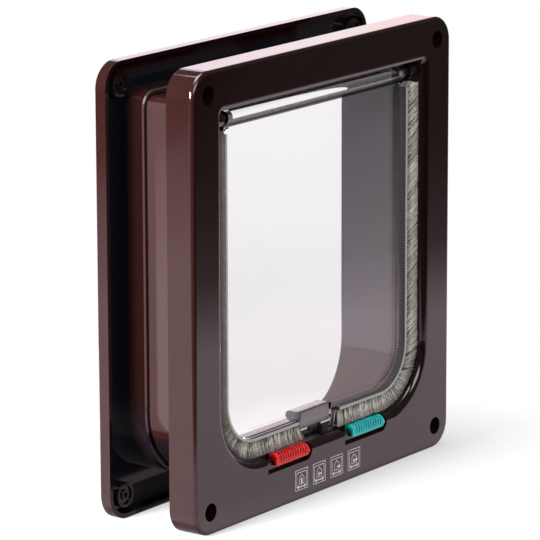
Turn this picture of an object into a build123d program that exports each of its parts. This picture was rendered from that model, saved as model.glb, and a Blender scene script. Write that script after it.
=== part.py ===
from build123d import *
import os

# A four-way cat flap for a house door: a front frame with its tunnel, a back frame that slides
# over the tunnel to suit the door, a clear flap with a brush round its edge, and two thumb
# sliders in the sill that work the locks.
# Millimetres, +Z up, +X to the right seen from the front. Depths count back from the front face.

# Both frames
frame_width = 193.0
frame_height = 200.0
frame_corner = 11.5
front_depth = 13.8
door_gap = 32.0
back_depth = 6.2
front_plate = 2.2
front_wall = 2.2
front_edge_round = 1.8
back_plate = 2.4
back_wall = 2.0
back_edge_chamfer = 1.2

# Opening, tunnel and collar
border_side = 20.5
border_above = 19.0
border_below = 24.0
upper_corner = 1.5
lower_corner = 28.0
bullnose = 3.2
tunnel_wall = 2.2
tunnel_step = 1.4
tunnel_step_wall = 2.0
sill_rise = 5.4
tunnel_short_of_back = 4.5
collar_clearance = 0.3
collar_wall = 2.0
collar_overlap = 10.3
mouth_round = 4.0
lip_chamfer = 0.6

# Screw holes and bosses
screw_from_side = 10.8
screw_from_end = 10.3
screw_head_hole = 8.0
screw_head_depth = 9.0
screw_shank_hole = 4.4
front_boss = 11.4
back_boss = 11.0
boss_ring = 1.2
boss_dish = 0.9
pilot_tube = 4.6
pilot_hole = 2.4
pilot_depth = 4.6

# Hinge
hinge_below_top = 4.3
hinge_depth = 7.0
barrel_diameter = 6.0
barrel_inset = 1.0
pin_diameter = 3.0
pin_in_barrel = 4.0
pin_clearance = 0.05
hinge_boss = 7.2
hinge_boss_reach = 6.2

# Flap
flap_side_gap = 8.7
flap_foot_above_sill = 9.5
flap_head_below_hinge = 4.4
flap_lower_corner = 19.5
flap_upper_corner = 2.5
rim_width = 4.2
rim_depth = 3.8
rim_front = 6.0
rim_chamfer = 0.5
dish_chamfer = 0.35
pane_thickness = 3.3

# Brush
backing_front = 4.1
backing_depth = 5.3
backing_thickness = 1.3
pile_forward = 1.3
pile_depth = 6.2
pile_to_opening = 0.5
pile_to_sliders = 0.3
brush_head_below_hinge = 6.6
pile_to_catch = 0.5
backing_to_catch = 4.2

# Catch at the foot of the flap
catch_width = 22.6
catch_front = 6.8
catch_depth = 9.6
catch_height = 8.0
catch_above_flap_foot = 3.3
catch_plate = 3.0
catch_shelf = 4.6
catch_round = 2.2
catch_chamfer = 0.4
tongue_length = 2.6
tongue_depth = 1.8
keel_width = 6.0
keel_depth = 1.2
keel_height = 2.5

# Sill track
track_front = 4.0
track_floor = 4.0
track_rib = 1.6
track_rib_to_bridge = 1.5
sill_block_wall = 2.4

# Thumb sliders, the red one to the left of the catch and the green one to its right
slider_length = 24.6
slider_travel = 5.5
red_slider_centre = -25.0
green_slider_centre = 33.0
slider_end_gap = 1.4
notch_depth = 2.2
notch_below_sill = 6.8
notch_corner = 4.4
slider_below_sill = 4.6
slider_corner = 2.6
slider_proud = 0.8
slider_clearance = 0.3
slider_front_gap = 0.15
slider_round = 2.3
slider_leg = 1.1
rib_count = 12
rib_height = 0.45
rib_share = 0.58
slider_border = 1.2

# Lock bars
bar_depth = 1.6
bar_below_sill = 0.6
bar_clearance = 0.3
bar_end_margin = 2.0
tooth_width = 4.0
tooth_to_keel = 1.0
tooth_below_catch = 0.7
green_bar_bridge = 3.0

# Worked-out places
overall_depth = front_depth + door_gap + back_depth
tunnel_length = overall_depth - tunnel_short_of_back
front_y = -overall_depth / 2
opening_half = frame_width / 2 - border_side
sill_z = border_below
opening_top = frame_height - border_above
screw_spacing_x = frame_width - 2 * screw_from_side
screw_spacing_z = frame_height - 2 * screw_from_end
hinge_y = front_y + hinge_depth
hinge_z = opening_top - hinge_below_top
back_rim = front_depth + door_gap
step_back = front_depth + tunnel_step_wall
collar_lip = tunnel_length - collar_overlap
flap_half = opening_half - flap_side_gap
barrel_half = flap_half - barrel_inset
flap_foot = sill_z + flap_foot_above_sill
flap_head = hinge_z - flap_head_below_hinge
rim_back = rim_front + rim_depth
pane_front = rim_back - pane_thickness
backing_back = backing_front + backing_depth
pile_front = backing_front - pile_forward
pile_back = pile_front + pile_depth
catch_half = catch_width / 2
catch_top = flap_foot + catch_above_flap_foot
catch_foot = catch_top - catch_height
catch_back = catch_front + catch_depth
slider_half = slider_length / 2
slider_top = sill_z + slider_proud
slider_foot = sill_z - slider_below_sill
notch_foot = sill_z - notch_below_sill
leg_front = track_front + slider_clearance
bar_front = leg_front + slider_leg
bar_back = bar_front + bar_depth
rib_front = bar_back + bar_clearance
rib_back = rib_front + track_rib
keel_front = rib_front + (track_rib - keel_depth) / 2
far_bar_front = rib_back + bar_clearance
far_bar_back = far_bar_front + bar_depth
track_back = far_bar_back + bar_clearance
track_left = red_slider_centre - slider_half - slider_travel - slider_end_gap
track_right = green_slider_centre + slider_half + slider_end_gap
bridge_left = green_slider_centre - slider_half + bar_end_margin
bar_top = sill_z - bar_below_sill
bar_foot = sill_z - track_floor + bar_clearance
tooth_start = keel_width / 2 + tooth_to_keel
tooth_top = catch_foot - tooth_below_catch


def deep(face, start, end):
    """Solid of a face drawn in X and Z, from one depth behind the front face to another."""
    return Pos(0, front_y + start, 0) * extrude(Plane.XZ * face, amount=start - end)


def block(left, right, start, end, foot, head):
    """Box between two X places, two depths and two heights."""
    face = Pos((left + right) / 2, (foot + head) / 2) * Rectangle(right - left, head - foot)
    return deep(face, start, end)


def long(face, left, right):
    """Solid of a section drawn in Y and Z, from one X place to another."""
    return Pos(left, 0, 0) * extrude(Plane.YZ * face, amount=right - left)


def rod(diameter, start, end):
    """Round rod on the hinge line between two X places."""
    return Pos(0, hinge_y, hinge_z) * long(Circle(diameter / 2), start, end)


def arch(half, foot, head, lower, upper):
    """Upright face with round lower corners and small upper ones."""
    face = Pos(0, (foot + head) / 2) * Rectangle(2 * half, head - foot)
    face = fillet(face.vertices().group_by(Axis.Y)[0], lower)
    return fillet(face.vertices().group_by(Axis.Y)[-1], upper)


def tab(left, right, foot, head, corner):
    """Upright face with round corners at its right end."""
    face = Pos((left + right) / 2, (foot + head) / 2) * Rectangle(right - left, head - foot)
    return fillet(face.vertices().group_by(Axis.X)[-1], corner)


def opening(grow):
    """Outline of the opening, grown evenly all round."""
    return arch(
        opening_half + grow, sill_z - grow, opening_top + grow, lower_corner + grow, upper_corner + grow
    )


def tunnel(grow):
    """Outline of the tunnel behind the opening: a step wider, with its floor below the sill."""
    wide = tunnel_step + grow
    return arch(
        opening_half + wide, sill_z - sill_rise - grow, opening_top + wide,
        lower_corner + grow, upper_corner + wide,
    )


def flap_outline(grow):
    """Outline of the flap, grown evenly all round."""
    return arch(
        flap_half + grow, flap_foot - grow, flap_head + grow,
        flap_lower_corner + grow, max(flap_upper_corner + grow, upper_corner),
    )


def frame_outline(inset):
    """Outline of either frame, drawn in evenly all round."""
    width = frame_width - 2 * inset
    height = frame_height - 2 * inset
    return Pos(0, frame_height / 2) * RectangleRounded(width, height, frame_corner - inset)


def at_screws(solid):
    """Copies of a solid at the four screw places."""
    grid = GridLocations(screw_spacing_x, screw_spacing_z, 2, 2)
    return [Pos(spot.position.X, 0, frame_height / 2 + spot.position.Y) * solid for spot in grid]


def screw_rod(diameter, start, end):
    """Round rod along a screw, at the middle of the frame's foot line."""
    return deep(Circle(diameter / 2), start, end)


def edges_at(solid, depth, outline):
    """Edges that lie on an outline at one depth."""
    level = front_y + depth
    flat = solid.edges().filter_by_position(Axis.Y, level - 0.01, level + 0.01)
    line = (Pos(0, level, 0) * (Plane.XZ * outline)).face().outer_wire()
    return [edge for edge in flat if line.distance_to(edge.position_at(0.5)) < 0.01]


def sill_section(recess):
    """Room that a slider takes round the sill's front edge, over a recess of a given depth."""
    outer = Pos(front_y, sill_z) * Rectangle(2 * track_front, 2 * notch_below_sill)
    core_width = track_front - recess
    core = Pos(front_y + track_front - core_width / 2, sill_z - recess - notch_below_sill)
    core_face = core * Rectangle(core_width, 2 * notch_below_sill)
    front_top = core_face.vertices().group_by(Axis.Y)[-1].sort_by(Axis.X)[0]
    return outer - fillet(front_top, bullnose - recess)


def make_front_frame():
    shell = deep(frame_outline(0), 0, front_depth)
    shell = fillet(edges_at(shell, 0, frame_outline(0)), front_edge_round)
    shell -= deep(frame_outline(front_wall), front_plate, front_depth)
    shell += deep(opening(tunnel_wall), 0, front_depth)
    shell += deep(tunnel(tunnel_wall), front_depth, tunnel_length)
    shell += at_screws(screw_rod(front_boss, front_plate, front_depth))
    shell += block(
        track_left - sill_block_wall, track_right + sill_block_wall, front_plate, front_depth,
        notch_foot - sill_block_wall, sill_z,
    )
    shell -= deep(opening(0), 0, step_back)
    shell -= deep(tunnel(0), step_back, tunnel_length)
    shell = fillet(edges_at(shell, 0, opening(0)), bullnose)
    for side in (-1, 1):
        wall_side = side * (opening_half + tunnel_wall / 2)
        boss_side = side * (opening_half - hinge_boss_reach)
        shell += rod(hinge_boss, min(wall_side, boss_side), max(wall_side, boss_side))
    shell -= at_screws(screw_rod(screw_head_hole, 0, screw_head_depth))
    shell -= at_screws(screw_rod(screw_shank_hole, 0, front_depth))
    shell -= rod(pin_diameter, -frame_width / 2 + front_wall, frame_width / 2 - front_wall)
    track = block(track_left, track_right, track_front, track_back, sill_z - track_floor, sill_z)
    rib_end = bridge_left - slider_travel - track_rib_to_bridge
    shell -= track - block(track_left, rib_end, rib_front, rib_back, sill_z - track_floor, bar_top)
    for centre in (red_slider_centre, green_slider_centre):
        left = centre - slider_half - slider_travel - slider_end_gap
        right = centre + slider_half + slider_end_gap
        notch = tab(left, right, notch_foot, sill_z + notch_below_sill, notch_corner)
        shell -= long(sill_section(notch_depth), left, right) & deep(notch, 0, track_front)
    return shell


def make_back_frame():
    tray = deep(frame_outline(0), back_rim, overall_depth)
    tray = chamfer(edges_at(tray, overall_depth, frame_outline(0)), back_edge_chamfer)
    floor_depth = overall_depth - back_plate
    tray -= deep(frame_outline(back_wall), back_rim, floor_depth)
    collar_bore = tunnel_wall + collar_clearance
    collar_outside = tunnel(collar_bore + collar_wall)
    tray += deep(collar_outside, collar_lip, overall_depth)
    tray = chamfer(edges_at(tray, collar_lip, collar_outside), lip_chamfer)
    tray += at_screws(screw_rod(back_boss, back_rim, floor_depth))
    dish = screw_rod(back_boss - 2 * boss_ring, back_rim, back_rim + boss_dish)
    tray -= at_screws(dish - screw_rod(pilot_tube, back_rim, back_rim + boss_dish))
    tray -= at_screws(screw_rod(pilot_hole, back_rim, back_rim + pilot_depth))
    bore = tunnel(collar_bore)
    tray -= deep(bore, collar_lip, overall_depth)
    return fillet(edges_at(tray, overall_depth, bore), mouth_round)


def make_flap_tray():
    """Pane that hangs from the hinge barrel, with a raised rim down its sides and along its foot."""
    dish = arch(
        flap_half - rim_width, flap_foot + rim_width, hinge_z,
        flap_lower_corner - rim_width, flap_upper_corner,
    )
    tray = deep(flap_outline(0), rim_front, rim_back) - deep(dish, rim_front, pane_front)
    for depth in (rim_front, rim_back):
        tray = chamfer(edges_at(tray, depth, flap_outline(0)), rim_chamfer)
    tray = chamfer(edges_at(tray, rim_front, dish), dish_chamfer)
    tray += rod(barrel_diameter, -barrel_half, barrel_half)
    tray += block(-barrel_half, barrel_half, pane_front, rim_back, flap_head - rim_width, hinge_z)
    for side in (-1, 1):
        inner = side * (barrel_half - pin_in_barrel)
        outer = side * barrel_half
        tray -= rod(pin_diameter + 2 * pin_clearance, min(inner, outer), max(inner, outer))
    seat = block(-catch_half, catch_half, rim_front, rim_back, flap_foot, catch_top)
    return tray - seat + catch_tongue()


def catch_tongue():
    """Tongue of the flap that the catch sits on."""
    return block(
        -catch_half, catch_half, rim_back - tongue_depth, rim_back, catch_top - tongue_length, catch_top
    )


def make_flap_catch():
    """Shelf with a round nose behind the flap, on a plate that carries the keel."""
    shelf = Pos(front_y + (catch_front + catch_back) / 2, catch_top - catch_shelf / 2)
    shelf *= Rectangle(catch_depth, catch_shelf)
    shelf = fillet(shelf.vertices().group_by(Axis.X)[-1], catch_round)
    catch = long(shelf, -catch_half, catch_half)
    catch += block(
        -catch_half, catch_half, catch_front, catch_front + catch_plate, catch_foot, catch_top
    )
    catch = chamfer(catch.faces().sort_by(Axis.Y)[0].edges(), catch_chamfer)
    catch += block(
        -keel_width / 2, keel_width / 2, keel_front, keel_front + keel_depth,
        catch_foot - keel_height, catch_foot,
    )
    return catch - catch_tongue()


def make_brush(side, inner, outer, start, end, to_catch):
    """Brush layer between two outlines and two depths, on one side of the catch."""
    reach = side * opening_half
    near = side * (catch_half + to_catch)
    room = block(
        min(near, reach), max(near, reach), start, end,
        slider_top + pile_to_sliders, hinge_z - brush_head_below_hinge,
    )
    return deep(outer - inner, start, end) & room


def slider_section(swell):
    """Section of a thumb slider: an arch over the sill's edge with a leg down into the track."""
    outer_front = front_y + slider_front_gap + rib_height - swell
    outer_top = slider_top - rib_height + swell
    back = front_y + bar_front - swell
    body = Pos((outer_front + back) / 2, (slider_foot + outer_top) / 2)
    body *= Rectangle(back - outer_front, outer_top - slider_foot)
    body = fillet(body.vertices().group_by(Axis.Y)[-1], slider_round - rib_height + swell)
    core_front = front_y + notch_depth - slider_clearance
    core_back = front_y + leg_front
    core_top = sill_z - notch_depth + slider_clearance
    core = Pos((core_front + core_back) / 2, core_top - notch_below_sill)
    core *= Rectangle(core_back - core_front, 2 * notch_below_sill)
    core_edge = core.vertices().group_by(Axis.Y)[-1].sort_by(Axis.X)[0]
    return body - fillet(core_edge, bullnose - notch_depth + slider_clearance)


def make_slider(centre):
    left = centre - slider_half
    right = centre + slider_half
    saddle = long(slider_section(0), left, right)
    raised = slider_section(rib_height)
    saddle += long(raised, left, left + slider_border)
    saddle += long(raised, right - slider_border, right)
    foot_border = block(left, right, 0, notch_depth, slider_foot, slider_foot + slider_border)
    saddle += long(raised, left, right) & foot_border
    pitch = (slider_length - 2 * slider_border) / rib_count
    for index in range(rib_count):
        middle = left + slider_border + (index + 0.5) * pitch
        saddle += long(raised, middle - rib_share * pitch / 2, middle + rib_share * pitch / 2)
    saddle -= block(left, right, leg_front, bar_front, slider_foot, bar_foot)
    return saddle & deep(tab(left, right, slider_foot, slider_top, slider_corner), 0, bar_front)


def make_red_bar():
    left = red_slider_centre - slider_half + bar_end_margin
    right = tooth_start + tooth_width
    bar = block(left, right, bar_front, bar_back, bar_foot, bar_top)
    return bar + block(tooth_start, right, bar_front, bar_back, bar_top, tooth_top)


def make_green_bar():
    right = green_slider_centre + slider_half - bar_end_margin
    bridge_right = bridge_left + green_bar_bridge
    tooth_end = tooth_start + tooth_width
    bar = block(tooth_start, bridge_right, far_bar_front, far_bar_back, bar_foot, bar_top)
    bar += block(bridge_left, bridge_right, bar_front, far_bar_back, bar_foot, bar_top)
    bar += block(bridge_left, right, bar_front, bar_back, bar_foot, bar_top)
    return bar + block(tooth_start, tooth_end, far_bar_front, far_bar_back, bar_top, tooth_top)


def make_pin(side):
    inner = side * (barrel_half - pin_in_barrel)
    outer = side * (opening_half + tunnel_wall)
    return rod(pin_diameter, min(inner, outer), max(inner, outer))


parts = {
    "front_frame": make_front_frame(),
    "back_frame": make_back_frame(),
    "flap_tray": make_flap_tray(),
    "flap_catch": make_flap_catch(),
    "red_slider": make_slider(red_slider_centre),
    "green_slider": make_slider(green_slider_centre),
    "red_lock_bar": make_red_bar(),
    "green_lock_bar": make_green_bar(),
}
pile_roots = flap_outline(backing_thickness)
pile_tips = opening(-pile_to_opening)
for name, side in (("left", -1), ("right", 1)):
    parts[f"hinge_pin_{name}"] = make_pin(side)
    parts[f"brush_backing_{name}"] = make_brush(
        side, flap_outline(0), pile_roots, backing_front, backing_back, backing_to_catch
    )
    parts[f"brush_pile_{name}"] = make_brush(
        side, pile_roots, pile_tips, pile_front, pile_back, pile_to_catch
    )

os.makedirs("parts", exist_ok=True)
for name, shape in parts.items():
    export_step(shape, f"parts/{name}.step")
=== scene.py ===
import math
import random
from typing import NamedTuple

import bpy
from mathutils import Matrix, Vector


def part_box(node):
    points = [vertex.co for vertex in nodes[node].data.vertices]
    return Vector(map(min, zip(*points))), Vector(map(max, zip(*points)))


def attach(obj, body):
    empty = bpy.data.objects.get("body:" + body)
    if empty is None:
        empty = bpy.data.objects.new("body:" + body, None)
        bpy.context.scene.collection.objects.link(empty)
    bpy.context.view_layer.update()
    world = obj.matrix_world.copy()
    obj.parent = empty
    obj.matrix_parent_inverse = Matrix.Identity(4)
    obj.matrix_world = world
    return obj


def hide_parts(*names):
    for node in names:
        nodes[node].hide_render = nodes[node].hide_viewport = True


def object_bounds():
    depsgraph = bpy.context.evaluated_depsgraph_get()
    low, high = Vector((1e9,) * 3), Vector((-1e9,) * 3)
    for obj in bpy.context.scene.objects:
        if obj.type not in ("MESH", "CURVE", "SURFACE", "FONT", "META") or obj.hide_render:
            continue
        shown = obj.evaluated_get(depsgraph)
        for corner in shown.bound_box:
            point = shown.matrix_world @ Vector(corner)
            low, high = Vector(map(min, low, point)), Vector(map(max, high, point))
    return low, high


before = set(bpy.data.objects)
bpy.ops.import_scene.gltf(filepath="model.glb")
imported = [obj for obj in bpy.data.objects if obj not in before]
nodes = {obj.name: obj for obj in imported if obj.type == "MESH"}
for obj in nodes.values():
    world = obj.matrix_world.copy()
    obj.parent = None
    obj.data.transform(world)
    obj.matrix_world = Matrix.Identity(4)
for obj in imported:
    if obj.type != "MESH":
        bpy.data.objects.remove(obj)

# The cat flap's looks: glossy red-brown mouldings, a clear flap with a bristle brush, ribbed thumb
# sliders and the printed signs. Metres, in the frame of the loaded nodes.

cad_low, cad_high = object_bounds()

# Camera, fitted to the photograph's edges and screw holes
view_azimuth = math.radians(-54.0)
view_elevation = math.radians(12.98)
view_roll = math.radians(-0.18)
view_distance = 1.6912
view_target = Vector((-0.0095, -0.0020, 0.0983))
view_lens = 257.4
view_sensor = 36.0
view_end = 20.0

# Brush strips, with a sewn front edge cut into teeth
backing_corner = 0.0208
glue_depth = 0.00015
pale_edge = 0.0003
tooth_pitch = 0.0013
tooth_depth = 0.0005
tooth_steps = 4

# Dense heart of the pile, as shares of the pile's reach, depth and length; its tone is painted shade
core_reach = 0.88
core_depth = 0.5
core_end = 0.004
core_fan = 0.8
core_steps = 90
core_shade_tone = -0.6

# Bristles
fibre_count = 9000
fibre_width = 0.00022
fibre_taper = (1.0, 0.95, 0.55)
fibre_corners = 3
fibre_sink = 0.0005
fibre_end_gap = 0.000001
fibre_lean = 0.22
shortest_fibre = 0.94
front_crowding = 1.7
root_spread = 0.9
tip_spread = 0.96
knee_height = 0.5
knee_lean = 0.38
knee_splay = 0.3
tip_rise = 0.0013
tuft_pitch = 0.0012
tuft_lean = 0.16
tuft_tone = 0.12
side_lean = 0.75
fan_run = 0.010
fan_curve = 1.4
least_fan = 0.4
most_fan = 0.95

# Tones of the bristles: spans to draw from, then what root, knee and tip add as painted shade at the root and
# painted light at the tip, and a speck on each
fibre_tones = ((0.45, 0.85), (0.35, 0.7), (-0.2, 0.2))
fibre_shading = (-0.3, 0.08, 0.2)
fibre_speck = 0.35

# The left brush hangs in shade down its side: its tones draw together and darken to the tip
shaded_shading = (0.14, -0.20, -0.32)
shaded_tone = 0.25
shaded_evenness = 0.85
shaded_core_lift = 0.8
shaded_core_from = 0.03
shaded_core_to = 0.045

# Catch: height of the painted shade on its keel, and its fade
keel_shade_height = 0.0025
keel_shade_fade = 0.0002

# Skin of the mouldings
usual_mark_scale = 60.0
print_mark_scale = 900.0
ripple_scale = 700.0
ripple_strength = 0.02
ripple_depth = 0.0002
plastic_ior = 1.5
clear_marks = 0.03
clear_drift = 1.02
clear_ripple_scale = 35.0
clear_ripple_strength = 0.01
clear_ripple_depth = 0.0005
clear_ior = 1.49

# Thumb sliders
rib_count = 12
rib_steps = 10
rib_height = 0.0009
rib_sharpness = 1.5
rib_foot_start = 0.00072
rib_foot_end = 0.0015
rib_back_fade = 0.55
slider_border = 0.0012
slider_round = 0.0023
slider_corner = 0.0026
slider_corner_drop = 0.0016
slider_end_round = 0.0005
slider_edge = 0.0004
slider_front_wall = 0.00175
slider_top_wall = 0.0027
slider_chamfer = 0.0012
slider_chamfer_gap = 0.0001
slider_leg = 0.0011
slider_leg_height = 0.0045
arch_steps = 14
left_stations = (0.0, 0.08, 0.25, 0.5, 1.0)
right_stations = (0.45, 0.3, 0.18, 0.08, 0.02, 0.0)

# Printed signs, each with whether the flap lets in and lets out
sign_ways = ((False, False), (True, False), (False, True), (True, True))
sign_pitch = 0.0134
sign_centre_x = 0.0006
sign_centre_z = 0.00945
sign_width = 0.0092
sign_height = 0.0091
sign_line = 0.00026
sign_border = 0.0010
bar_drop = 0.0012
shelf_rise = 0.0013
shelf_line_inset = 0.0010
shelf_arrow_inset = 0.0014
house_foot = 0.0026
house_eaves = 0.0052
house_ridge = 0.0070
house_half = 0.0018
door_half = 0.0006
door_shoulder = 0.0004
door_point = 0.0002
way_line = 0.0007
way_inset = 0.0002
arrow_half = 0.0010
arrow_length = 0.0013
sharpest_mitre = 0.35
ink_thickness = 0.00004
ink_step = 0.000002
ink_heights = 12

# White table, whose edges show in the polished faces: directions on it and its light along them
floor_half = 6.0
table_side = Vector((0.268, -0.963, 0.0))
table_back = Vector((0.276, 0.961, 0.0))
table_near = Vector((-0.5, -0.866, 0.0))
table_side_tones = (
    (0.0, (1.14, 0.96, 1.02)), (0.04, (0.92, 0.75, 0.82)), (0.25, (1.03, 0.83, 0.90)),
    (0.31, (0.56, 0.48, 0.52)), (0.37, (0.24, 0.20, 0.205)), (0.5, (0.125, 0.11, 0.11)),
    (0.63, (0.070, 0.068, 0.062)),
)
table_back_levels = ((0.15, 1.0), (0.18, 0.8), (0.235, 0.54), (0.272, 0.40), (0.29, 0.03))
table_near_levels = ((0.16, 1.0), (0.22, 0.05))
# Painted shadow under the object's foot in what the polished faces mirror
table_foot_shadow_levels = ((0.0, 0.3), (0.0015, 0.85), (0.006, 1.0))
table_strength = 1.35

# Floor as the camera sees it, by the distance from the object's foot
shadow_fade = ((0.0, 0.55), (0.07, 1.0))
pane_levels = ((0.12, 0.85), (0.27, 0.893), (0.45, 0.97), (0.7, 1.0))
floor_bounce = 0.14
floor_seen = 0.45
room_strength = 0.12

# Bright panel behind the object's right
panel_along = Vector((0.588, -0.809, 0.0))
panel_away = Vector((0.809, 0.588, 0.0))
panel_distance = 0.95
panel_left = -0.75
panel_right = 0.24
panel_foot = 0.10
panel_head = 0.75
panel_shift = 0.5
panel_tones = (
    (0.47, (0.82, 0.70, 0.76)), (0.537, (0.85, 0.74, 0.76)), (0.607, (0.86, 0.64, 0.65)),
    (0.654, (0.84, 0.58, 0.59)), (0.71, (0.52, 0.36, 0.36)),
)
panel_strength = 2.6

# Lamps: name, place, width, height and watts
lamp_aim = Vector((0.0, 0.0, 0.1))
softboxes = (
    ("left_softbox", Vector((-1.35, 0.22, 0.50)), 0.45, 0.45, 138.0),
    ("top_softbox", Vector((-0.10, 0.20, 1.30)), 1.0, 0.8, 24.0),
    ("front_softbox", Vector((-0.55, -1.35, 1.05)), 1.0, 1.0, 20.0),
)


# Mesh helpers
def smooth_step(low, high, value):
    share = min(1.0, max(0.0, (value - low) / (high - low)))
    return share * share * (3 - 2 * share)


def new_piece(name, verts, faces, body, material, replaced=(), smooth=True):
    """Mesh piece that rides on a body and takes a material, in place of any parts it replaces."""
    mesh = bpy.data.meshes.new(name)
    mesh.from_pydata([tuple(v) for v in verts], [], faces)
    mesh.validate()
    mesh.polygons.foreach_set("use_smooth", [smooth] * len(mesh.polygons))
    mesh.update()
    piece = bpy.data.objects.new(name, mesh)
    bpy.context.scene.collection.objects.link(piece)
    mesh.materials.append(material)
    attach(piece, body)
    if replaced:
        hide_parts(*replaced)
    return piece


def paint(piece, name, values):
    """Number for each point of a piece, for its material to read."""
    layer = piece.data.attributes.new(name, "FLOAT", "POINT")
    layer.data.foreach_set("value", values)


def sweep_faces(stations, points, first=0):
    """Faces of a closed section carried through a row of stations, with both ends capped."""
    faces = []
    for s in range(stations - 1):
        for p in range(points):
            q = (p + 1) % points
            a = first + s * points
            b = a + points
            faces.append((a + p, a + q, b + q, b + p))
    faces.append(tuple(first + p for p in reversed(range(points))))
    last = first + (stations - 1) * points
    faces.append(tuple(last + p for p in range(points)))
    return faces


# Numbers of the sockets that share a name with others on their node
mix_vector_sockets = (0, 4, 5)
mix_vector_result = 1
mix_colour_sockets = (0, 6, 7)
mix_colour_result = 2
range_sockets = (6, 7, 8)


# Shader helpers
def new_material(name):
    material = bpy.data.materials.new(name)
    material.use_nodes = True
    tree = material.node_tree
    return material, tree, tree.nodes["Principled BSDF"]


def add(tree, kind, **values):
    """Node of a kind, with named input values or node settings."""
    node = tree.nodes.new(kind)
    for key, value in values.items():
        if key in node.inputs:
            node.inputs[key].default_value = value
        else:
            setattr(node, key, value)
    return node


def feed(tree, inlet, source):
    """Links a socket to an input, or sets a plain number, vector or colour there."""
    if isinstance(source, bpy.types.NodeSocket):
        tree.links.new(source, inlet)
    elif inlet.type == "RGBA":
        inlet.default_value = (*source, 1.0)
    else:
        inlet.default_value = source


def number_sum(tree, operation, *sources, clamp=False):
    """Result of a sum on numbers."""
    node = add(tree, "ShaderNodeMath", operation=operation, use_clamp=clamp)
    for inlet, source in zip(node.inputs, sources):
        feed(tree, inlet, source)
    return node.outputs["Value"]


def vector_sum(tree, operation, *sources, result="Vector"):
    """Result of a sum on vectors."""
    node = add(tree, "ShaderNodeVectorMath", operation=operation)
    for inlet, source in zip(node.inputs, sources):
        feed(tree, inlet, source)
    return node.outputs[result]


def axes_of(tree, vector):
    """X, Y and Z of a vector, as named sockets."""
    node = tree.nodes.new("ShaderNodeSeparateXYZ")
    tree.links.new(vector, node.inputs["Vector"])
    return node.outputs


def grey(value):
    return (value, value, value)


def ramp(tree, source, stops):
    """Colour ramp with (place, colour) stops, fed by a socket."""
    node = tree.nodes.new("ShaderNodeValToRGB")
    elements = node.color_ramp.elements
    while len(elements) < len(stops):
        elements.new(0.5)
    for element, (place, colour) in zip(elements, stops):
        element.position = place
        element.color = (*colour, 1.0)
    tree.links.new(source, node.inputs["Fac"])
    return node.outputs["Color"]


def grey_ramp(tree, source, stops):
    """Ramp of greys with (place, level) stops."""
    return ramp(tree, source, [(place, grey(level)) for place, level in stops])


def blend(tree, share, base, over, kind="MIX"):
    """Colour that goes over to another by a share. Each is a socket or a plain value."""
    node = add(tree, "ShaderNodeMix", data_type="RGBA", blend_type=kind)
    for socket, source in zip(mix_colour_sockets, (share, base, over)):
        feed(tree, node.inputs[socket], source)
    return node.outputs[mix_colour_result]


def object_place(tree):
    return tree.nodes.new("ShaderNodeTexCoord").outputs["Object"]


def painted(tree, name):
    """Number that paint() gave the points of a piece."""
    return add(tree, "ShaderNodeAttribute", attribute_name=name).outputs["Fac"]


def bumped(tree, height, strength, distance):
    """Normal that follows a height."""
    bump = add(tree, "ShaderNodeBump", Strength=strength, Distance=distance)
    tree.links.new(height, bump.inputs["Height"])
    return bump.outputs["Normal"]


# Effects that several finishes share
def new_group(name, kind, takes, gives):
    """Empty node group that takes named values of a kind and gives named numbers."""
    group = bpy.data.node_groups.new(name, "ShaderNodeTree")
    for label in takes:
        group.interface.new_socket(label, in_out="INPUT", socket_type=kind)
    for label in gives:
        group.interface.new_socket(label, in_out="OUTPUT", socket_type="NodeSocketFloat")
    inlet = group.nodes.new("NodeGroupInput").outputs
    outlet = group.nodes.new("NodeGroupOutput").inputs
    return group, inlet, outlet


def moulding_group():
    """Faint handling marks and the slow ripple of a polished moulding."""
    takes = ("Mark Scale", "Ripple Scale", "Gloss", "Marks")
    gives = ("Mask", "Roughness", "Height")
    group, inlet, outlet = new_group("moulded_skin", "NodeSocketFloat", takes, gives)
    place = object_place(group)
    marks = add(group, "ShaderNodeTexNoise", Detail=6.0, Roughness=0.62)
    ripple = add(group, "ShaderNodeTexNoise", Detail=2.0, Roughness=0.5)
    for noise, scale in ((marks, "Mark Scale"), (ripple, "Ripple Scale")):
        group.links.new(place, noise.inputs["Vector"])
        group.links.new(inlet[scale], noise.inputs["Scale"])
    rough = number_sum(group, "MULTIPLY_ADD", marks.outputs["Fac"], inlet["Marks"], inlet["Gloss"])
    group.links.new(marks.outputs["Fac"], outlet["Mask"])
    group.links.new(rough, outlet["Roughness"])
    group.links.new(ripple.outputs["Fac"], outlet["Height"])
    return group


def zone_group():
    """1 inside a box in the object's own frame, falling to 0 over a soft edge given for each axis."""
    takes = ("Low", "High", "Soft")
    group, inlet, outlet = new_group("shaded_zone", "NodeSocketVector", takes, ("Share",))
    place = object_place(group)
    sides = []
    for edge, outward in (("Low", "SUBTRACT"), ("High", "ADD")):
        outer = vector_sum(group, outward, inlet[edge], inlet["Soft"])
        side = add(group, "ShaderNodeMapRange", data_type="FLOAT_VECTOR")
        for socket, source in zip(range_sockets, (place, outer, inlet[edge])):
            group.links.new(source, side.inputs[socket])
        sides.append(side.outputs["Vector"])
    axes = axes_of(group, vector_sum(group, "MULTIPLY", *sides))
    inside = number_sum(group, "MULTIPLY", axes["X"], axes["Y"])
    group.links.new(number_sum(group, "MULTIPLY", inside, axes["Z"]), outlet["Share"])
    return group


def grain_group():
    """Fine speckle in the object's own frame."""
    group, inlet, outlet = new_group("fine_grain", "NodeSocketFloat", ("Scale", "Detail"), ("Grain",))
    noise = group.nodes.new("ShaderNodeTexNoise")
    group.links.new(object_place(group), noise.inputs["Vector"])
    for label in ("Scale", "Detail"):
        group.links.new(inlet[label], noise.inputs[label])
    group.links.new(noise.outputs["Fac"], outlet["Grain"])
    return group


moulded_skin = moulding_group()
shaded_zone = zone_group()
fine_grain = grain_group()


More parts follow.
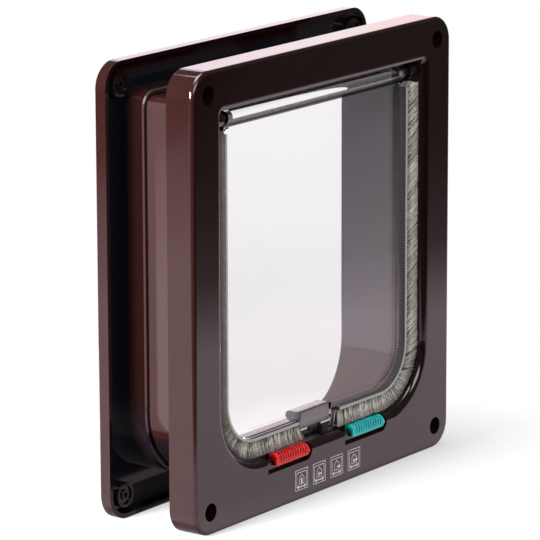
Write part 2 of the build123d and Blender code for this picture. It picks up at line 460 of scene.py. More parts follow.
def skin_of(tree, gloss, marks, mark_scale, ripples):
    """The moulded skin with a finish's own values."""
    own = {"Gloss": gloss, "Marks": marks, "Mark Scale": mark_scale, "Ripple Scale": ripples}
    return add(tree, "ShaderNodeGroup", node_tree=moulded_skin, **own).outputs


def grain(tree, scale, detail):
    """The fine grain with a finish's own values."""
    return add(tree, "ShaderNodeGroup", node_tree=fine_grain, Scale=scale, Detail=detail).outputs["Grain"]


def zone(tree, low, high, soft):
    """Share of a shaded zone with a place's own box and soft edge."""
    own = {"Low": low, "High": high, "Soft": soft}
    return add(tree, "ShaderNodeGroup", node_tree=shaded_zone, **own).outputs["Share"]


# Places on the mouldings with a tone of their own: painted shade, and painted highlight or reflection
class Shade(NamedTuple):
    """Box with a soft edge on each axis, a tone of painted light or shade, and a roughness where it isn't
    polished.
    """

    low: tuple
    high: tuple
    soft: tuple
    tone: tuple
    roughness: float = 0.0


crisp = (0.0003, 0.0003, 0.0003)
soft_rim = (0.0008, 0.0008, 0.0008)
# Tones of painted shade for dark matt places and low down on the collar and tunnel, and of painted reflection
# on the tunnel's sides
matt_shade_tone = (0.0032, 0.0024, 0.0024)
foot_shade_tone = (0.0040, 0.0024, 0.0034)
tunnel_reflection_tone = (0.0188, 0.0095, 0.0095)

# Painted shade, bluish black, in the back frame's hollow
tray_hollow_shade = Shade(
    low=(-0.0905, 0.0203, 0.0080), high=(0.0905, 0.0240, 0.1920),
    soft=(0.0025, 0.0003, 0.0025), tone=(0.0050, 0.0058, 0.0090),
)
# Painted shade, matt, low in the back frame's hollow
tray_foot_shade = Shade(
    low=(-0.0785, 0.0190, 0.0010), high=(0.0785, 0.0236, 0.0120),
    soft=soft_rim, tone=matt_shade_tone, roughness=0.8,
)
# Painted shade on the collar between the frames
collar = Shade(
    low=(-0.0900, 0.0060, 0.0050), high=(0.0900, 0.0190, 0.1950),
    soft=crisp, tone=(0.0050, 0.0015, 0.0013),
)
# Painted highlight along the collar's front lip
collar_lip_highlight = Shade(
    low=(-0.0900, 0.0060, 0.0400), high=(0.0900, 0.0117, 0.1950),
    soft=(0.0003, 0.0002, 0.0100), tone=(0.033, 0.017, 0.0145),
)
# Painted shade low on the collar's left, bluish
collar_foot_shade = Shade(
    low=(-0.0900, 0.0060, 0.0050), high=(-0.0400, 0.0190, 0.0380),
    soft=(0.0010, 0.0010, 0.0150), tone=foot_shade_tone,
)
# Painted shade, bluish, on the tunnel's right inner wall that shows through the flap
tunnel_inside_shade = Shade(
    low=(0.0620, -0.0165, 0.0480), high=(0.0783, 0.0260, 0.1830),
    soft=(0.0040, 0.0004, 0.0150), tone=(0.0034, 0.0016, 0.0052),
)
# Painted reflection, lighter than the moulding, on the tunnel's left outer side between the frames
tunnel_left_reflection = Shade(
    low=(-0.0815, -0.0118, 0.0100), high=(-0.0788, 0.0260, 0.1900), soft=crisp, tone=tunnel_reflection_tone,
)
# Painted reflection on the tunnel's right outer side between the frames
tunnel_right_reflection = Shade(
    low=(0.0788, -0.0118, 0.0100), high=(0.0815, 0.0260, 0.1900), soft=crisp, tone=tunnel_reflection_tone,
)
# Painted shade low on the tunnel's left side
tunnel_foot_shade = Shade(
    low=(-0.0815, -0.0118, 0.0100), high=(-0.0400, 0.0260, 0.0330),
    soft=(0.0004, 0.0004, 0.0040), tone=foot_shade_tone,
)
# Painted shade, matt, on the sill's track under the flap
front_sill_shade = Shade(
    low=(-0.0775, -0.0226, 0.0195), high=(0.0775, -0.0104, 0.0300),
    soft=soft_rim, tone=matt_shade_tone, roughness=0.9,
)
barrel_shadow = Shade(
    low=(-0.0670, -0.0260, 0.1724), high=(0.0670, 0.0, 0.1752), soft=crisp, tone=(0.05, 0.045, 0.05),
)
dish_low = (-0.0645, -0.0203, 0.0362)
dish_high = (0.0645, -0.0193, 0.1690)
dish_facing = 0.5


# Finishes
def moulded(name, dark, light, gloss, marks, mark_scale=usual_mark_scale, groove_shading=0.0, shades=()):
    """Polished plastic with a slight drift of colour and gloss, with painted shade in its rib valleys and
    boxes of painted shade or highlight where it has them.
    """
    material, tree, shader = new_material(name)
    skin = skin_of(tree, gloss, marks, mark_scale, ripple_scale)
    colour = ramp(tree, skin["Mask"], ((0.3, dark), (0.7, light)))
    rough = skin["Roughness"]
    # Painted shade in the rib valleys, darker the deeper in the valley
    if groove_shading:
        level = grey_ramp(tree, painted(tree, "groove"), ((0.1, 1.0), (0.7, 1.0 - groove_shading)))
        colour = blend(tree, 1.0, colour, level, "MULTIPLY")
    # Boxes of painted shade or painted highlight, some matt
    for shade in shades:
        share = zone(tree, shade.low, shade.high, shade.soft)
        colour = blend(tree, share, colour, shade.tone)
        if shade.roughness:
            rough = blend(tree, share, rough, grey(shade.roughness))
    tree.links.new(colour, shader.inputs["Base Color"])
    tree.links.new(rough, shader.inputs["Roughness"])
    tree.links.new(bumped(tree, skin["Height"], ripple_strength, ripple_depth), shader.inputs["Normal"])
    shader.inputs["IOR"].default_value = plastic_ior
    return material


def turned(tree, vector, start, end):
    """A normal turned from one space to another."""
    node = add(tree, "ShaderNodeVectorTransform", vector_type="NORMAL", convert_from=start, convert_to=end)
    tree.links.new(vector, node.inputs["Vector"])
    return node.outputs["Vector"]


def flattened(tree, normal, low, high):
    """Normal that lies square to the flap's face inside a box, so that a slight step there hardly shows."""
    here = tree.nodes.new("ShaderNodeNewGeometry").outputs["True Normal"]
    across = axes_of(tree, turned(tree, here, "WORLD", "OBJECT"))["Y"]
    square = tree.nodes.new("ShaderNodeCombineXYZ")
    tree.links.new(across, square.inputs["Y"])
    facing = number_sum(tree, "GREATER_THAN", number_sum(tree, "ABSOLUTE", across), dish_facing)
    share = number_sum(tree, "MULTIPLY", facing, zone(tree, low, high, crisp))
    mixed = add(tree, "ShaderNodeMix", data_type="VECTOR")
    square_on = turned(tree, square.outputs["Vector"], "OBJECT", "WORLD")
    for socket, source in zip(mix_vector_sockets, (share, normal, square_on)):
        tree.links.new(source, mixed.inputs[socket])
    return mixed.outputs[mix_vector_result]


def clear_plastic(name, tint, transmission, gloss):
    """Clear moulding with a trace of haze and a slow ripple. Colour, gloss and normal are still to link."""
    material, tree, shader = new_material(name)
    skin = skin_of(tree, gloss, clear_marks, usual_mark_scale, clear_ripple_scale)
    paler = tuple(min(1.0, level * clear_drift) for level in tint)
    colour = ramp(tree, skin["Mask"], ((0.2, tint), (0.8, paler)))
    normal = bumped(tree, skin["Height"], clear_ripple_strength, clear_ripple_depth)
    shader.inputs["Transmission Weight"].default_value = transmission
    shader.inputs["IOR"].default_value = clear_ior
    return material, tree, shader, colour, skin["Roughness"], normal


def clear_flap():
    """Clear pane with a dark band under its barrel and a dish whose edge hardly shows."""
    material, tree, shader, colour, rough, normal = clear_plastic(
        "clear_moulding", tint=(0.955, 0.935, 0.945), transmission=0.99, gloss=0.0
    )
    share = zone(tree, barrel_shadow.low, barrel_shadow.high, barrel_shadow.soft)
    colour = blend(tree, share, colour, barrel_shadow.tone, "MULTIPLY")
    tree.links.new(colour, shader.inputs["Base Color"])
    tree.links.new(rough, shader.inputs["Roughness"])
    tree.links.new(flattened(tree, normal, dish_low, dish_high), shader.inputs["Normal"])
    return material


def smoke_catch():
    """Smoky clear block with a keel painted dark as shade, and matt there."""
    material, tree, shader, colour, rough, normal = clear_plastic(
        "smoke_moulding", tint=(0.24, 0.23, 0.26), transmission=0.40, gloss=0.18
    )
    # Painted shade on the keel, which is matt as well
    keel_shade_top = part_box("flap_catch")[0][2] + keel_shade_height
    height = axes_of(tree, object_place(tree))["Z"]
    level = grey_ramp(tree, height, ((keel_shade_top - keel_shade_fade, 0.02), (keel_shade_top, 1.0)))
    matt = grey_ramp(tree, height, ((keel_shade_top - keel_shade_fade, 0.9), (keel_shade_top, 0.0)))
    tree.links.new(blend(tree, 1.0, colour, level, "MULTIPLY"), shader.inputs["Base Color"])
    tree.links.new(number_sum(tree, "MAXIMUM", rough, matt), shader.inputs["Roughness"])
    tree.links.new(normal, shader.inputs["Normal"])
    return material


def bristle():
    """Grey bristles whose tone changes from one to the next, with painted shade at the root and painted light
    toward the tip.
    """
    material, tree, shader = new_material("bristle")
    speck = grain(tree, scale=900.0, detail=2.0)
    tone = number_sum(tree, "MULTIPLY_ADD", speck, fibre_speck, painted(tree, "tone"))
    greys = ((0.05, (0.012, 0.011, 0.010)), (0.45, (0.26, 0.235, 0.205)), (0.95, (0.92, 0.86, 0.79)))
    tree.links.new(ramp(tree, tone, greys), shader.inputs["Base Color"])
    shader.inputs["Roughness"].default_value = 0.55
    return material


def woven_backing():
    """Strip with a pale sewn front edge and a grey woven side with rows of stitches."""
    material, tree, shader = new_material("woven_backing")
    weave = grain(tree, scale=2200.0, detail=3.0)
    pale = ramp(tree, weave, ((0.3, (0.32, 0.31, 0.30)), (0.7, (0.55, 0.53, 0.52))))
    stitches = painted(tree, "stitch")
    side = ramp(tree, stitches, ((0.35, (0.020, 0.018, 0.018)), (0.8, (0.075, 0.068, 0.066))))
    tree.links.new(blend(tree, painted(tree, "edge"), side, pale), shader.inputs["Base Color"])
    tree.links.new(bumped(tree, weave, strength=0.4, distance=0.0002), shader.inputs["Normal"])
    shader.inputs["Roughness"].default_value = 0.6
    return material


def pin_steel():
    """Dark drawn steel."""
    material, tree, shader = new_material("pin_steel")
    drawn = grain(tree, scale=1500.0, detail=3.0)
    tree.links.new(grey_ramp(tree, drawn, ((0.3, 0.35), (0.7, 0.5))), shader.inputs["Roughness"])
    shader.inputs["Base Color"].default_value = (0.10, 0.10, 0.105, 1.0)
    shader.inputs["Metallic"].default_value = 1.0
    return material


def red_brown(name, shades):
    """Glossy red-brown of both frames, with a frame's own boxes of painted shade and painted highlight."""
    dark_brown = (0.0085, 0.0026, 0.0024)
    light_brown = (0.0105, 0.0032, 0.0030)
    return moulded(name, dark_brown, light_brown, gloss=0.06, marks=0.04, shades=shades)


brown_back = red_brown("red_brown_back", (tray_hollow_shade, tray_foot_shade, collar, collar_lip_highlight, collar_foot_shade))
brown_front = red_brown(
    "red_brown_front", (tunnel_inside_shade, tunnel_left_reflection, tunnel_right_reflection, tunnel_foot_shade, front_sill_shade)
)
clear = clear_flap()
smoke = smoke_catch()
red = moulded(
    "red_moulding", dark=(0.72, 0.004, 0.004), light=(0.82, 0.008, 0.007),
    gloss=0.16, marks=0.08, groove_shading=0.88,
)
teal = moulded(
    "teal_moulding", dark=(0.001, 0.48, 0.48), light=(0.002, 0.58, 0.57),
    gloss=0.16, marks=0.08, groove_shading=0.85,
)
black = moulded(
    "dark_moulding", dark=(0.004, 0.003, 0.003), light=(0.006, 0.005, 0.005), gloss=0.6, marks=0.15,
)
ink = moulded(
    "white_print", dark=(0.74, 0.72, 0.72), light=(0.88, 0.86, 0.86),
    gloss=0.4, marks=0.2, mark_scale=print_mark_scale,
)
steel = pin_steel()
pile = bristle()
backing = woven_backing()

node_finish = {
    "front_frame": brown_front, "back_frame": brown_back, "flap_tray": clear, "flap_catch": smoke,
    "red_slider": red, "green_slider": teal, "red_lock_bar": black, "green_lock_bar": black,
    "hinge_pin_left": steel, "hinge_pin_right": steel,
}
for node_name, finish in node_finish.items():
    nodes[node_name].data.materials.clear()
    nodes[node_name].data.materials.append(finish)


# Brush: a strip and its bristles follow the flap's side, lower corner and foot
class BrushRoute:
    """Route of one brush: down the flap's side, round its corner and along its foot to the catch."""

    def __init__(self, name, side):
        low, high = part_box(f"brush_backing_{name}")
        pile_low, pile_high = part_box(f"brush_pile_{name}")
        self.side = side
        self.edge = max(abs(low[0]), abs(high[0]))
        self.inner = min(abs(low[0]), abs(high[0]))
        self.foot = low[2]
        self.head = high[2]
        self.front = low[1]
        self.depth = high[1] - low[1]
        self.down = self.head - self.foot - backing_corner
        self.turn = math.pi / 2 * backing_corner
        self.along = self.edge - backing_corner - self.inner
        self.length = self.down + self.turn + self.along
        self.side_reach = max(abs(pile_low[0]), abs(pile_high[0])) - self.edge
        self.foot_reach = self.foot - pile_low[2]
        self.fan_reach = self.inner - min(abs(pile_low[0]), abs(pile_high[0])) - fibre_width
        self.pile_middle = (pile_low[1] + pile_high[1]) / 2
        self.pile_half = (pile_high[1] - pile_low[1]) / 2

    def fan(self, distance):
        """How far a bristle leans out past the strip's end beside the catch, from 0 to 1."""
        return max(0.0, 1.0 - (self.length - distance) / fan_run) ** fan_curve

    def on_side(self, distance):
        """1 down the flap's side, falling to 0 round the corner."""
        return min(1.0, max(0.0, 1.0 - (distance - self.down) / self.turn))

    def reach(self, distance):
        """How far the pile stands out from the strip."""
        on_side = self.on_side(distance)
        return self.side_reach * on_side + self.foot_reach * (1.0 - on_side)

    def at(self, distance):
        """Point on the strip's outer face, its outward direction and its direction of travel."""
        if distance < self.down:
            place, out, way = (self.edge, self.head - distance), (1.0, 0.0), (0.0, -1.0)
        elif distance < self.down + self.turn:
            angle = (distance - self.down) / backing_corner
            out = (math.cos(angle), -math.sin(angle))
            way = (-math.sin(angle), -math.cos(angle))
            centre = (self.edge - backing_corner, self.foot + backing_corner)
            place = (centre[0] + backing_corner * out[0], centre[1] + backing_corner * out[1])
        else:
            run = distance - self.down - self.turn
            place, out, way = (self.edge - backing_corner - run, self.foot), (0.0, -1.0), (-1.0, 0.0)
        return [Vector((self.side * v[0], 0.0, v[1])) for v in (place, out, way)]


def make_backing(name, route):
    """Strip with a pale toothed front edge and stitches down its side."""
    thickness = route.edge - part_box("flap_tray")[1][0]
    steps = int(route.length / tooth_pitch * tooth_steps)
    band = pale_edge / route.depth

    # Section from the glued side to the outer face: share outward, share of the depth, and whether it is pale
    section = (
        (0.0, 0.0, 1.0), (0.0, band, 0.0), (0.0, 1.0, 0.0),
        (1.0, 1.0, 0.0), (1.0, band, 0.0), (1.0, 0.0, 1.0),
    )
    verts, edges, stitches = [], [], []
    for step in range(steps + 1):
        place, out, _ = route.at(route.length * step / steps)
        wave = 0.5 - 0.5 * math.cos(2 * math.pi * step / tooth_steps)
        for outward, depth, pale in section:
            cut = outward * tooth_depth * wave * (1.0 - depth)
            reach = (outward - 1.0) * (thickness + glue_depth) - cut
            verts.append(place + out * reach + Vector((0, route.front + depth * route.depth, 0)))
            edges.append(pale)
            stitches.append(wave)
    piece = new_piece(
        f"brush_strip_{name}", verts, sweep_faces(steps + 1, len(section)), "flap", backing,
        (f"brush_backing_{name}",), smooth=False,
    )
    paint(piece, "edge", edges)
    paint(piece, "stitch", stitches)


def pile_core(route):
    """Dense heart of the pile, which light doesn't get through, painted dark as shade."""
    verts = []
    for step in range(core_steps + 1):
        distance = route.length * (core_end + (1 - 2 * core_end) * step / core_steps)
        place, out, way = route.at(distance)
        reach = core_reach * route.reach(distance)
        fan = way * (core_fan * route.fan_reach * route.fan(distance))
        for outward, depth in ((0.0, -1.0), (0.0, 1.0), (1.0, 1.0), (1.0, -1.0)):
            aside = Vector((0, route.pile_middle + depth * core_depth * route.pile_half, 0))
            verts.append(place + out * (reach * outward) + fan * outward + aside)
    # Painted shade on the heart of the pile, drawn lighter up the left brush's side
    tones = [core_shade_tone] * len(verts)
    if route.side < 0:
        lifts = [smooth_step(shaded_core_from, shaded_core_to, v.z) for v in verts]
        tones = [core_shade_tone + shaded_core_lift * lift for lift in lifts]
    return verts, sweep_faces(core_steps + 1, 4), tones


def make_pile(name, route):
    """Bristles that stand out from the strip in leaning tufts, as far as the pile's outline."""
    rng = random.Random(f"pile {name}")
    spans = ((-tuft_lean, tuft_lean), (shortest_fibre, 1.0), (-tuft_tone, tuft_tone))
    tuft_count = int(route.length / tuft_pitch) + 2
    tufts = [[rng.uniform(*span) for span in spans] for _ in range(tuft_count)]
    strip_middle = route.front + route.depth / 2
    verts, faces, tones = pile_core(route)
    for _ in range(fibre_count):
        distance = rng.uniform(0.0, route.length - fibre_end_gap)
        place, out, way = route.at(distance)
        leaning, length, lightness = tufts[int(distance / tuft_pitch + rng.uniform(0.0, 1.0))]
        on_side = route.on_side(distance)
        fan = route.fan(distance)

        # Root, knee and tip
        lean = leaning - side_lean * on_side + rng.uniform(-fibre_lean, fibre_lean)
        reach = route.reach(distance) * length * rng.uniform(shortest_fibre, 1.0)
        across = 2.0 * rng.random() ** front_crowding - 1.0
        rise = out * (reach + fibre_sink)
        root_y = strip_middle + root_spread * across * route.depth / 2
        tip_y = route.pile_middle + tip_spread * across * route.pile_half
        root = place - out * fibre_sink + Vector((0, root_y, 0))
        splay = Vector((0, tip_y - root_y, 0))
        fanned = route.fan_reach * fan * rng.uniform(least_fan, most_fan)
        bend = way * (lean * reach * (1.0 - fan) + fanned)
        knee = root + rise * knee_height + bend * knee_lean + splay * knee_splay
        tip = root + rise + bend + splay
        tip.z = min(tip.z, route.head + tip_rise)

        # Tone, drawn together where the left brush hangs in shade
        tone = rng.choice([rng.uniform(*span) for span in fibre_tones]) + lightness
        shaded = on_side if route.side < 0 else 0.0
        tone += shaded * (shaded_tone - shaded_evenness * tone)
        faces.extend(sweep_faces(len(fibre_taper), fibre_corners, len(verts)))
        # Painted shade at the root and painted light toward the tip of each bristle
        for spot, share, lit, dim in zip((root, knee, tip), fibre_taper, fibre_shading, shaded_shading):
            for corner in range(fibre_corners):
                angle = corner * 2 * math.pi / fibre_corners
                ring = way * math.cos(angle) + Vector((0, math.sin(angle), 0))
                verts.append(spot + ring * (fibre_width * share / 2))
                tones.append(tone + lit + shaded * (dim - lit))
    piece = new_piece(
        f"bristles_{name}", verts, faces, "flap", pile, (f"brush_pile_{name}",)
    )
    paint(piece, "tone", tones)


# Thumb sliders
def slider_stations(left, right):
    """Places along a slider: close together at its ends and in each rib."""
    run = right - left - 2 * slider_border
    ribs = rib_count * rib_steps
    places = [left + slider_border * share for share in left_stations]
    places += [left + slider_border + run * i / ribs for i in range(1, ribs)]
    places += [right - slider_corner * share for share in right_stations]
    return sorted(set(places))


def make_slider(node, material, body):
    """Ribbed arch over the sill's edge, with a smooth border at its foot and ends."""
    low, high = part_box(node)
    left, front, foot = low
    right, back, top = high
    run = right - left - 2 * slider_border
    middle = front + slider_round
    ceiling = top - slider_top_wall
    wall = front + slider_front_wall
    inner = [
        (back, top - slider_leg_height), (back - slider_leg, top - slider_leg_height),
        (back - slider_leg, ceiling), (wall + slider_chamfer, ceiling), (wall, ceiling - slider_chamfer),
    ]
    places = slider_stations(left, right)
    verts, valley_shades = [], []
    for x in places:
        into_corner = max(0.0, x - right + slider_corner)
        drop = slider_corner - math.sqrt(max(0.0, slider_corner ** 2 - into_corner ** 2))
        drop = min(drop, slider_corner_drop)
        foot_here = foot + drop
        phase = (x - left - slider_border) / run * rib_count
        valley = 1.0 - abs(math.sin(math.pi * phase)) ** rib_sharpness if 0.0 < phase < rib_count else 0.0
        end_round = max(0.0, 1.0 - (x - left) / (slider_border / 2))
        groove = max(rib_height * valley, slider_end_round * end_round ** 2)

        # Outer skin: the front wall, then the arch, each point with its inward direction and its rib's share
        skin = []
        for height in (0.0, slider_edge, slider_border, slider_border + slider_edge):
            skin.append((front, max(foot_here, foot + height), 1.0, 0.0, 1.0))
        for step in range(arch_steps + 1):
            angle = math.pi * step / arch_steps
            ahead = slider_round if angle < math.pi / 2 else back - middle
            skin.append((
                middle - ahead * math.cos(angle), top - drop - slider_round * (1 - math.sin(angle)),
                math.cos(angle), math.sin(angle), 1.0 - smooth_step(rib_back_fade, 1.0, angle / math.pi),
            ))
        for y, z, inward, downward, share in skin:
            depth = groove
            if not end_round:
                depth *= share * smooth_step(rib_foot_start, rib_foot_end, z - foot)
            verts.append((x, y + depth * inward, z - depth * downward))
            valley_shades.append(valley * depth / groove if valley else 0.0)

        # Inside of the arch, back to the foot of the front wall
        verts.extend((x, y, z) for y, z in inner)
        verts.append((x, wall, min(foot_here, ceiling - slider_chamfer - slider_chamfer_gap)))
        verts.append((x, front + slider_edge, foot_here))
        valley_shades.extend([0.0] * (len(inner) + 2))
    faces = sweep_faces(len(places), len(verts) // len(places))
    piece = new_piece(f"ribbed_{node}", verts, faces, body, material, (node,))
    # Share of painted shade in each rib's valley, for the material to read
    paint(piece, "groove", valley_shades)


# Printed signs: a house in a box, with arrows for the ways the flap lets through
def line_rails(points, width, closed):
    """Left and right edge of a line of one width along a row of points, mitred at its corners."""
    count = len(points)
    rails = []
    for index, (x, z) in enumerate(points):
        ways = []
        if closed or index:
            before = points[index - 1]
            ways.append(Vector((x - before[0], z - before[1])).normalized())
        if closed or index < count - 1:
            after = points[(index + 1) % count]
            ways.append(Vector((after[0] - x, after[1] - z)).normalized())
        way = sum(ways, Vector((0, 0))).normalized()
        side = Vector((-way.y, way.x))
        half = width / 2 / max(sharpest_mitre, side.dot(Vector((-ways[0].y, ways[0].x))))
        rails.append((Vector((x, z)) + side * half, Vector((x, z)) - side * half))
    return rails


class SignPrint:
    """White shapes printed on the front face."""

    def __init__(self):
        self.verts = []
        self.faces = []
        self.shapes = 0
        self.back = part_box("front_frame")[0][1] + ink_thickness / 2

    def next_shape(self):
        """First point of a shape, with its back and its front, a hair off those of the shapes beside it."""
        self.shapes += 1
        height = ink_thickness + self.shapes % ink_heights * ink_step
        return len(self.verts), (self.back, self.back - height)

    def line(self, points, width, closed=False):
        rails = line_rails(points, width, closed)
        count = len(rails)
        first, layers = self.next_shape()
        for left, right in rails:
            for y in layers:
                self.verts.append((left.x, y, left.y))
                self.verts.append((right.x, y, right.y))
        for i in range(count if closed else count - 1):
            a = first + 4 * i
            b = first + 4 * ((i + 1) % count)
            self.faces.extend([(a + 2, a + 3, b + 3, b + 2), (a, b, b + 1, a + 1)])
            self.faces.extend([(a, a + 2, b + 2, b), (a + 1, b + 1, b + 3, a + 3)])
        if not closed:
            for end in (first, first + 4 * (count - 1)):
                self.faces.append((end, end + 1, end + 3, end + 2))

    def patch(self, points):
        """Filled shape with its corners in order."""
        count = len(points)
        first, layers = self.next_shape()
        for y in layers:
            self.verts.extend((x, y, z) for x, z in points)
        self.faces.append(tuple(first + i for i in range(count)))
        self.faces.append(tuple(first + count + i for i in reversed(range(count))))
        for i in range(count):
            j = (i + 1) % count
            self.faces.append((first + i, first + count + i, first + count + j, first + j))

    def arrow(self, x, z, way):
        self.patch([(x, z + arrow_half), (x + way * arrow_length, z), (x, z - arrow_half)])


def print_sign(signs, x, lets_in, lets_out):
    """A house in a box, with a door where the flap is shut and an arrow for each way where it isn't."""
    half = sign_width / 2
    top = sign_centre_z + sign_height / 2
    foot = sign_centre_z - sign_height / 2
    inner = half - sign_border
    bar = top - bar_drop
    shelf = foot + shelf_rise
    base = foot + house_foot
    eaves = foot + house_eaves
    ridge = foot + house_ridge
    wall = house_half
    house = [(x - wall, base), (x + wall, base), (x + wall, eaves), (x, ridge), (x - wall, eaves)]
    signs.line([(x - half, foot), (x + half, foot), (x + half, top), (x - half, top)], sign_line, True)
    signs.line([(x - inner, shelf), (x - inner, bar), (x + inner, bar), (x + inner, shelf)], sign_line)
    signs.line(house, sign_line, True)
    signs.line([(x - inner + shelf_line_inset, shelf), (x + inner - shelf_line_inset, shelf)], 2 * sign_line)
    signs.arrow(x - inner + shelf_arrow_inset, shelf, -1)
    signs.arrow(x + inner - shelf_arrow_inset, shelf, 1)
    middle = (base + eaves) / 2
    if lets_in or lets_out:
        signs.line([(x + way_inset, middle), (x + wall, middle)], way_line)
    else:
        shoulder = eaves - door_shoulder
        signs.patch([
            (x - door_half, base), (x + door_half, base), (x + door_half, shoulder),
            (x, eaves + door_point), (x - door_half, shoulder),
        ])
    if lets_in:
        signs.arrow(x + way_inset, middle, -1)
    if lets_out:
        signs.arrow(x + wall - way_inset, middle, 1)


def make_signs():
    """White lines printed on the front face below the sill."""
    signs = SignPrint()
    for index, (lets_in, lets_out) in enumerate(sign_ways):
        x = sign_centre_x + (index - (len(sign_ways) - 1) / 2) * sign_pitch
        print_sign(signs, x, lets_in, lets_out)
    new_piece("printed_signs", signs.verts, signs.faces, "frame", ink, smooth=False)


for name, side in (("left", -1), ("right", 1)):
    brush_route = BrushRoute(name, side)
    make_backing(name, brush_route)
    make_pile(name, brush_route)
make_slider("red_slider", red, "red_lock")
make_slider("green_slider", teal, "green_lock")
make_signs()


# Studio
def bare_tree(owner):
    """Empty node tree of a material or a world."""
    owner.use_nodes = True
    owner.node_tree.nodes.clear()
    return owner.node_tree


def glow(tree, colour, strength):
    node = add(tree, "ShaderNodeEmission", Strength=strength)
    tree.links.new(colour, node.inputs["Color"])
    return node.outputs["Emission"]


def either(tree, share, first, second):
    """One shader going over to another by a share."""
    node = tree.nodes.new("ShaderNodeMixShader")
    for inlet, source in zip(node.inputs, (share, first, second)):
        tree.links.new(source, inlet)
    return node.outputs["Shader"]


def show(tree, kind, shader):
    """Output node of a material or a world."""
    tree.links.new(shader, tree.nodes.new(kind).inputs["Surface"])


def seen_by_camera(tree, path):
    """1 for what the camera sees, straight or through the clear flap."""
    return number_sum(tree, "MAXIMUM", path["Is Camera Ray"], path["Is Transmission Ray"])


def stage_sheet(name, corners, material):
    """Flat sheet that belongs to the studio."""
    mesh = bpy.data.meshes.new(name)
    mesh.from_pydata([tuple(corner) for corner in corners], [], [(0, 1, 2, 3)])
    mesh.materials.append(material)
    sheet = bpy.data.objects.new(name, mesh)
    bpy.context.scene.collection.objects.link(sheet)
    return sheet


def foot_distance(tree, place):
    """Distance on the floor from the object's foot."""
    aside = vector_sum(tree, "ABSOLUTE", place)
    past_foot = vector_sum(tree, "SUBTRACT", aside, (cad_high[0], cad_high[1], 0.0))
    outside = vector_sum(tree, "MAXIMUM", past_foot, (0.0, 0.0, 0.0))
    return vector_sum(tree, "LENGTH", outside, result="Value")


def seen_floor(tree, path, gap):
    """What the camera sees: a shadow round the object's foot that fades into white."""
    seen = seen_by_camera(tree, path)
    lit = tree.nodes.new("ShaderNodeBsdfDiffuse")
    tree.links.new(grey_ramp(tree, seen, ((0.0, floor_bounce), (1.0, floor_seen))), lit.inputs["Color"])
    paper = blend(tree, path["Is Transmission Ray"], grey(1.0), grey_ramp(tree, gap, pane_levels))
    share = number_sum(tree, "MULTIPLY", seen, grey_ramp(tree, gap, shadow_fade))
    return either(tree, share, lit.outputs["BSDF"], glow(tree, paper, 1.0))


def mirrored_floor(tree, place, gap):
    """What the polished faces mirror: a white table, darker past its edges, with a painted shadow under the
    object.
    """
    side, back, near = (
        vector_sum(tree, "DOT_PRODUCT", place, direction, result="Value")
        for direction in (table_side, table_back, table_near)
    )
    colour = ramp(tree, side, table_side_tones)
    for source, levels in ((back, table_back_levels), (near, table_near_levels), (gap, table_foot_shadow_levels)):
        colour = blend(tree, 1.0, colour, grey_ramp(tree, source, levels), "MULTIPLY")
    return glow(tree, colour, table_strength)


def make_floor():
    """Pale floor that keeps the object's shadow."""
    material = bpy.data.materials.new("pale_floor")
    tree = bare_tree(material)
    path = tree.nodes.new("ShaderNodeLightPath").outputs
    place = object_place(tree)
    gap = foot_distance(tree, place)
    in_polish = number_sum(tree, "SUBTRACT", path["Is Glossy Ray"], path["Is Transmission Ray"], clamp=True)
    whole = either(tree, in_polish, seen_floor(tree, path, gap), mirrored_floor(tree, place, gap))
    show(tree, "ShaderNodeOutputMaterial", whole)
    corners = [(floor_half * x, floor_half * y, 0.0) for x, y in ((-1, -1), (1, -1), (1, 1), (-1, 1))]
    stage_sheet("floor", corners, material)


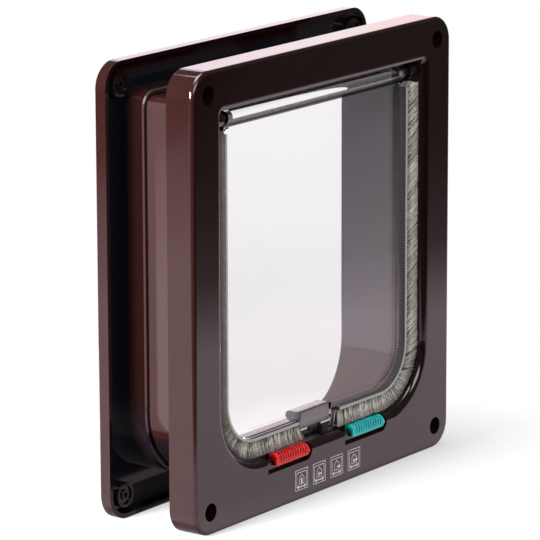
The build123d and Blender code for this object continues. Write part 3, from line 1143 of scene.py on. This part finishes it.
def make_world():
    """White behind the object, and a dim grey room for the light that falls on it."""
    world = bpy.data.worlds.new("studio")
    bpy.context.scene.world = world
    tree = bare_tree(world)
    path = tree.nodes.new("ShaderNodeLightPath").outputs
    room, white = (
        add(tree, "ShaderNodeBackground", Color=(1.0, 1.0, 1.0, 1.0), Strength=strength).outputs["Background"]
        for strength in (room_strength, 1.0)
    )
    show(tree, "ShaderNodeOutputWorld", either(tree, seen_by_camera(tree, path), room, white))


def make_back_panel():
    """Panel that the top faces and the tunnel's floor mirror, fading at its right."""
    material = bpy.data.materials.new("bright_panel")
    tree = bare_tree(material)
    across = vector_sum(tree, "DOT_PRODUCT", object_place(tree), panel_along, result="Value")
    shifted = number_sum(tree, "ADD", across, panel_shift)
    show(tree, "ShaderNodeOutputMaterial", glow(tree, ramp(tree, shifted, panel_tones), panel_strength))
    outline = (
        (panel_left, panel_foot), (panel_right, panel_foot),
        (panel_right, panel_head), (panel_left, panel_head),
    )
    corners = [panel_away * panel_distance + panel_along * x + Vector((0, 0, z)) for x, z in outline]
    panel = stage_sheet("back_panel", corners, material)
    panel.visible_camera = False
    panel.visible_transmission = False
    panel.visible_diffuse = False
    panel.visible_shadow = False


def make_softbox(name, place, width, height, watts):
    data = bpy.data.lights.new(name, "AREA")
    data.shape = "RECTANGLE"
    data.size = width
    data.size_y = height
    data.energy = watts
    lamp = bpy.data.objects.new(name, data)
    bpy.context.scene.collection.objects.link(lamp)
    lamp.location = place
    lamp.rotation_euler = (lamp_aim - place).to_track_quat("-Z", "Y").to_euler()


def make_camera():
    data = bpy.data.cameras.new("camera")
    data.sensor_width = view_sensor
    data.lens = view_lens
    data.clip_end = view_end
    camera = bpy.data.objects.new("camera", data)
    bpy.context.scene.collection.objects.link(camera)
    back = Vector((
        math.sin(view_azimuth) * math.cos(view_elevation),
        -math.cos(view_azimuth) * math.cos(view_elevation),
        math.sin(view_elevation),
    ))
    right = (-back).cross(Vector((0, 0, 1))).normalized()
    up = right.cross(-back)
    level = math.cos(view_roll) * right + math.sin(view_roll) * up
    upright = -math.sin(view_roll) * right + math.cos(view_roll) * up
    axes = Matrix((level, upright, back)).transposed().to_4x4()
    camera.matrix_world = Matrix.Translation(view_target + view_distance * back) @ axes
    bpy.context.scene.camera = camera


make_floor()
make_world()
for softbox in softboxes:
    make_softbox(*softbox)
make_back_panel()
make_camera()
bpy.context.scene.view_settings.view_transform = "Standard"
